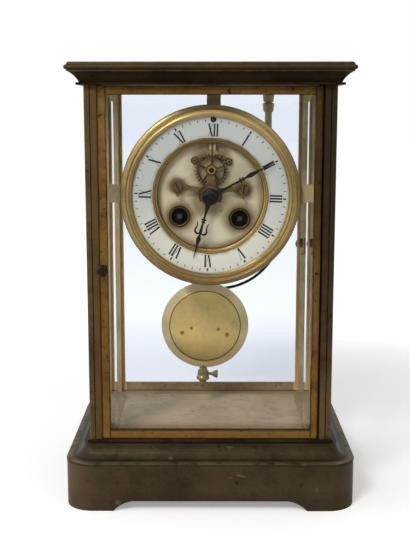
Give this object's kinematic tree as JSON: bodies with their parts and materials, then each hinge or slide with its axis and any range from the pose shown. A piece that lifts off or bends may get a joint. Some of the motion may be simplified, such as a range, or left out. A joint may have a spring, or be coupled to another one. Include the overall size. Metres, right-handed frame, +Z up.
{
  "type": "cage clock",
  "caption": "Brass and glass cage clock on a bracket-foot base, with hinged doors, visible escapement dial, train of wheels, pendulum and spiral gong.",
  "frame": {"origin": "middle of the base, on the plane the feet stand on", "axes": "+Z up, -Y towards the front door and dial, +X to the right seen from the front"},
  "size_m": [0.1992, 0.1582, 0.3],
  "materials": {
    "patinated_brass": "dark worn patina",
    "golden_brass": "satin, worn gilding",
    "polished_brass": "polished",
    "dull_brass": "dull, tarnished",
    "steel": "bright steel",
    "blued_steel": "blued",
    "enamel": "white vitreous enamel",
    "clear_glass": "clear, bevelled"
  },
  "bodies": {
    "case": {"base_plinth": "patinated_brass", "floor_plate": "dull_brass", "post_front_left": "dull_brass", "post_front_right": "dull_brass", "post_back_left": "dull_brass", "post_back_right": "dull_brass", "side_rails": "dull_brass", "top_plate": "golden_brass", "cornice": "patinated_brass", "glass_left": "clear_glass", "glass_right": "clear_glass", "slotted_screws": "steel", "bezel": "polished_brass", "dial_pan": "dull_brass", "chapter_ring": "enamel", "centre_dish": "enamel", "gilt_rings": "polished_brass", "dial_straps": "polished_brass", "escape_cock": "dull_brass", "pallet_cock": "dull_brass", "front_plate": "polished_brass", "back_plate": "polished_brass", "gong": "blued_steel", "gong_stand": "dull_brass", "suspension_cock": "dull_brass"},
    "front_door": {"front_door_frame": "golden_brass", "front_door_glass": "clear_glass"},
    "front_catch": {"front_door_knob": "patinated_brass"},
    "back_door": {"back_door_frame": "golden_brass", "back_door_glass": "clear_glass"},
    "back_catch": {"back_door_knob": "patinated_brass"},
    "centre_work": {"centre_wheel": "polished_brass", "cannon_pinion": "polished_brass", "minute_hand": "blued_steel"},
    "minute_work": {"minute_wheel": "polished_brass"},
    "hour_work": {"hour_wheel": "polished_brass", "hour_hand": "blued_steel"},
    "third_work": {"third_wheel": "polished_brass"},
    "escape_work": {"escape_wheel": "polished_brass"},
    "going_drum": {"going_barrel": "polished_brass"},
    "going_winder": {"going_arbor": "steel"},
    "going_pawl": {"going_click": "steel"},
    "strike_drum": {"strike_barrel": "polished_brass"},
    "strike_winder": {"strike_arbor": "steel"},
    "strike_pawl": {"strike_click": "steel"},
    "pin_work": {"pin_wheel": "polished_brass"},
    "strike_work": {"strike_wheel": "polished_brass"},
    "warning_work": {"warning_wheel": "polished_brass"},
    "fly_work": {"fly": "polished_brass"},
    "striker": {"hammer": "steel"},
    "pallets": {"anchor": "dull_brass", "pallet_arbor": "steel"},
    "regulator": {"regulator_arbor": "steel"},
    "rating_crown": {"rating_screw": "polished_brass"},
    "slide": {"suspension_slide": "polished_brass"},
    "pendulum": {"suspension_spring": "steel", "pendulum_rod": "steel", "pendulum_bob": "polished_brass"},
    "bob_sleeve": {"rating_sleeve": "dull_brass"},
    "sleeve_lock": {"lock_screw": "dull_brass"}
  },
  "joints": [
    {"name": "front_door_swing", "type": "hinge", "parent": "case", "child": "front_door", "pos_m": [0.0717, -0.0599, 0.165], "axis": [0, 0, 1], "range_deg": [0, 90]},
    {"name": "front_catch_turn", "type": "hinge", "parent": "front_door", "child": "front_catch", "pos_m": [-0.07185, -0.0599, 0.164], "axis": [0, -1, 0], "range_deg": [0, 90]},
    {"name": "back_door_swing", "type": "hinge", "parent": "case", "child": "back_door", "pos_m": [-0.0717, 0.0599, 0.165], "axis": [0, 0, 1], "range_deg": [0, 90]},
    {"name": "back_catch_turn", "type": "hinge", "parent": "back_door", "child": "back_catch", "pos_m": [0.07185, 0.0599, 0.164], "axis": [0, 1, 0], "range_deg": [0, 90]},
    {"name": "centre_turn", "type": "hinge", "parent": "case", "child": "centre_work", "pos_m": [0, 0, 0.2117], "axis": [0, 1, 0], "continuous": true},
    {"name": "minute_wheel_turn", "type": "hinge", "parent": "case", "child": "minute_work", "pos_m": [-0.00038, 0, 0.2017], "axis": [0, 1, 0], "continuous": true},
    {"name": "hour_turn", "type": "hinge", "parent": "case", "child": "hour_work", "pos_m": [0, 0, 0.2117], "axis": [0, 1, 0], "continuous": true},
    {"name": "third_turn", "type": "hinge", "parent": "case", "child": "third_work", "pos_m": [0.01305, 0, 0.2216], "axis": [0, 1, 0], "continuous": true},
    {"name": "escape_turn", "type": "hinge", "parent": "case", "child": "escape_work", "pos_m": [0.00067, 0, 0.22918], "axis": [0, 1, 0], "continuous": true},
    {"name": "going_barrel_turn", "type": "hinge", "parent": "case", "child": "going_drum", "pos_m": [0.0201, 0, 0.19571], "axis": [0, 1, 0], "continuous": true},
    {"name": "going_winding", "type": "hinge", "parent": "case", "child": "going_winder", "pos_m": [0.0201, 0, 0.19571], "axis": [0, 1, 0], "continuous": true},
    {"name": "going_click_lift", "type": "hinge", "parent": "case", "child": "going_pawl", "pos_m": [0.03149, 0, 0.19727], "axis": [0, 1, 0], "range_deg": [0, 12]},
    {"name": "strike_barrel_turn", "type": "hinge", "parent": "case", "child": "strike_drum", "pos_m": [-0.02127, 0, 0.1973], "axis": [0, 1, 0], "continuous": true},
    {"name": "strike_winding", "type": "hinge", "parent": "case", "child": "strike_winder", "pos_m": [-0.02127, 0, 0.1973], "axis": [0, 1, 0], "continuous": true},
    {"name": "strike_click_lift", "type": "hinge", "parent": "case", "child": "strike_pawl", "pos_m": [-0.03251, 0, 0.19973], "axis": [0, 1, 0], "range_deg": [-12, 0]},
    {"name": "pin_wheel_turn", "type": "hinge", "parent": "case", "child": "pin_work", "pos_m": [-0.01501, 0, 0.22167], "axis": [0, 1, 0], "continuous": true},
    {"name": "strike_wheel_turn", "type": "hinge", "parent": "case", "child": "strike_work", "pos_m": [-0.01808, 0, 0.23574], "axis": [0, 1, 0], "continuous": true},
    {"name": "warning_wheel_turn", "type": "hinge", "parent": "case", "child": "warning_work", "pos_m": [-0.00753, 0, 0.23905], "axis": [0, 1, 0], "continuous": true},
    {"name": "fly_turn", "type": "hinge", "parent": "case", "child": "fly_work", "pos_m": [-0.01009, 0, 0.24814], "axis": [0, 1, 0], "continuous": true},
    {"name": "hammer_lift", "type": "hinge", "parent": "case", "child": "striker", "pos_m": [-0.02252, 0, 0.25059], "axis": [0, 1, 0], "range_deg": [0, 8]},
    {"name": "anchor_swing", "type": "hinge", "parent": "case", "child": "pallets", "pos_m": [0.00129, 0, 0.24517], "axis": [0, 1, 0], "range_deg": [-3, 3]},
    {"name": "regulator_turn", "type": "hinge", "parent": "case", "child": "regulator", "pos_m": [0.00198, 0, 0.26326], "axis": [0, 1, 0], "range_deg": [-360, 360]},
    {"name": "rating_crown_turn", "type": "hinge", "parent": "case", "child": "rating_crown", "pos_m": [0.00188, 0.019, 0.26066], "axis": [0.0384, 0, 0.9993], "range_deg": [-180, 180]},
    {"name": "suspension_lift", "type": "slide", "parent": "case", "child": "slide", "axis": [0.0384, 0, 0.9993], "range_m": [-0.00035, 0.00035]},
    {"name": "pendulum_swing", "type": "hinge", "parent": "slide", "child": "pendulum", "pos_m": [0.00129, 0.019, 0.24517], "axis": [0, 1, 0], "range_deg": [-3, 3]},
    {"name": "bob_sleeve_turn", "type": "hinge", "parent": "pendulum", "child": "bob_sleeve", "pos_m": [-0.00541, 0.019, 0.0708], "axis": [0.0384, 0, 0.9993], "range_deg": [-90, 90]},
    {"name": "sleeve_lock_turn", "type": "hinge", "parent": "bob_sleeve", "child": "sleeve_lock", "pos_m": [0.00056, 0.019, 0.07007], "axis": [0.9993, 0, -0.0384], "range_deg": [-360, 360]}
  ],
  "couplings": [
    {"joint": "minute_wheel_turn", "follows": "centre_turn", "ratio": -0.33333},
    {"joint": "hour_turn", "follows": "centre_turn", "ratio": 0.083333},
    {"joint": "third_turn", "follows": "centre_turn", "ratio": -12},
    {"joint": "escape_turn", "follows": "centre_turn", "ratio": 160},
    {"joint": "going_barrel_turn", "follows": "centre_turn", "ratio": -0.16667},
    {"joint": "pin_wheel_turn", "follows": "strike_barrel_turn", "ratio": -7},
    {"joint": "strike_wheel_turn", "follows": "strike_barrel_turn", "ratio": 63},
    {"joint": "warning_wheel_turn", "follows": "strike_barrel_turn", "ratio": -540},
    {"joint": "fly_turn", "follows": "strike_barrel_turn", "ratio": 4320},
    {"joint": "anchor_swing", "follows": "pendulum_swing", "ratio": 1},
    {"joint": "regulator_turn", "follows": "suspension_lift", "rad_per_m": 17952},
    {"joint": "rating_crown_turn", "follows": "suspension_lift", "rad_per_m": -8976}
  ]
}
